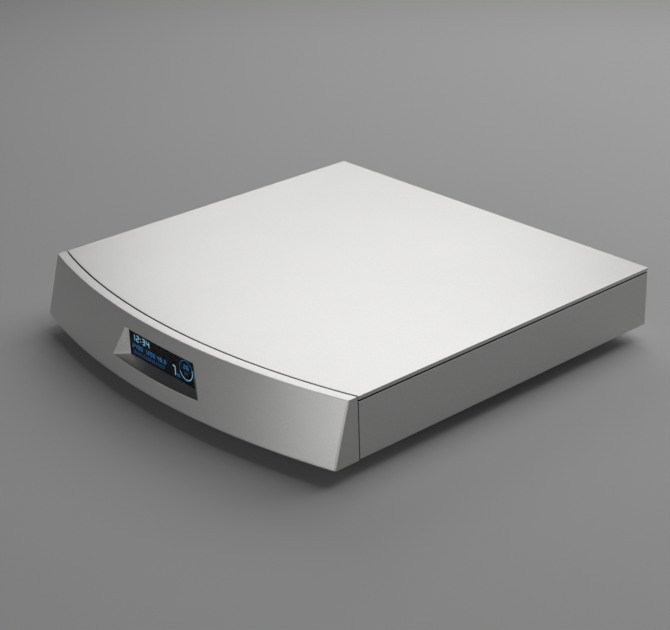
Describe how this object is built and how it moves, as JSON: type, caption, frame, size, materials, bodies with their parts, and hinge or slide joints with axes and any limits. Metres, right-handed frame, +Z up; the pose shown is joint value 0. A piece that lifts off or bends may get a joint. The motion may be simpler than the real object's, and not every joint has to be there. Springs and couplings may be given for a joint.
{
  "type": "desktop dac",
  "caption": "Desktop digital-to-analogue converter in a low milled aluminium casing, with a bowed, leaning fascia, a small display in a splayed window and a rear connector row.",
  "frame": {"origin": "centre of the bounding box in X and Y, at the underside of the foot pads", "axes": "+X to the right as seen from the front, +Y to the rear, +Z up; the front faces -Y"},
  "size_m": [0.35, 0.36, 0.0605],
  "materials": {
    "casing_aluminium": "fine bead-blasted, silver anodised, satin",
    "gasket_rubber": "matt black",
    "black_screw": "black oxide",
    "plain_steel": "bright plated",
    "smoked_glass": "polished, dark tint",
    "display_face": "black emissive display face",
    "circuit_board": "green solder mask",
    "white_plastic": "plain white",
    "red_plastic": "plain red",
    "black_plastic": "fine moulded grain",
    "rocker_plastic": "moulded, slight gloss",
    "fuse_glass": "clear tube with plated caps",
    "gold_plate": "gold plated",
    "wound_core": "wound steel core under amber film tape",
    "capacitor_sleeve": "shrink sleeve",
    "black_aluminium": "black anodised",
    "mains_lead": "insulated lead",
    "supply_lead": "insulated lead",
    "signal_lead": "screened lead"
  },
  "bodies": {
    "casing": {"front_fascia": "casing_aluminium", "top_cover": "casing_aluminium", "chassis_tub": "casing_aluminium", "rear_panel": "casing_aluminium", "foot_front_left": "casing_aluminium", "foot_front_right": "casing_aluminium", "foot_rear_left": "casing_aluminium", "foot_rear_right": "casing_aluminium", "cover_gasket": "gasket_rubber", "foot_pads": "gasket_rubber", "toroid_pads": "gasket_rubber", "cover_screws": "black_screw", "rear_screws": "black_screw", "fascia_screws": "plain_steel", "board_screws": "plain_steel", "toroid_clamp": "plain_steel", "toroid_bolt": "plain_steel", "screen_wall": "plain_steel", "output_transformer_left": "plain_steel", "output_transformer_right": "plain_steel", "inlet_blades": "plain_steel", "socket_nuts": "plain_steel", "bnc_socket": "plain_steel", "usb_left": "plain_steel", "usb_right": "plain_steel", "network_socket": "plain_steel", "display_glass": "smoked_glass", "display_cell": "display_face", "display_board": "circuit_board", "psu_board": "circuit_board", "main_board": "circuit_board", "analog_board": "circuit_board", "processor_module": "circuit_board", "display_ribbon": "white_plastic", "rca_collar_left": "white_plastic", "socket_inserts": "white_plastic", "usb_tongues": "white_plastic", "rca_collar_right": "red_plastic", "inlet_body": "black_plastic", "switch_body": "black_plastic", "xlr_left": "black_plastic", "xlr_right": "black_plastic", "psu_regulators": "black_plastic", "board_chips": "black_plastic", "xlr_pins": "gold_plate", "rca_left": "gold_plate", "rca_right": "gold_plate", "socket_contacts": "gold_plate", "ground_stud": "gold_plate", "toroid": "wound_core", "psu_capacitors": "capacitor_sleeve", "psu_heatsink": "black_aluminium", "mains_loom": "mains_lead", "supply_loom": "supply_lead", "signal_loom": "signal_lead"},
    "rocker": {"power_rocker": "rocker_plastic"},
    "drawer": {"fuse_drawer": "black_plastic", "fuse": "fuse_glass"},
    "terminal_washer": {"ground_washer": "plain_steel"},
    "terminal_nut": {"ground_nut": "gold_plate"}
  },
  "joints": [
    {"name": "rocker_tilt", "type": "hinge", "parent": "casing", "child": "rocker", "pos_m": [0.084, 0.164, 0.0363], "axis": [1, 0, 0], "range_deg": [0, 16]},
    {"name": "drawer_slide", "type": "slide", "parent": "casing", "child": "drawer", "axis": [0, 1, 0], "range_m": [0, 0.018]},
    {"name": "washer_lift", "type": "slide", "parent": "casing", "child": "terminal_washer", "axis": [0, 1, 0], "range_m": [0, 0.0028]},
    {"name": "nut_turn", "type": "hinge", "parent": "terminal_washer", "child": "terminal_nut", "pos_m": [0.057, 0.17, 0.0363], "axis": [0, 1, 0], "range_deg": [0, 1440]}
  ],
  "couplings": [
    {"joint": "nut_turn", "follows": "washer_lift", "rad_per_m": 8975.9}
  ]
}
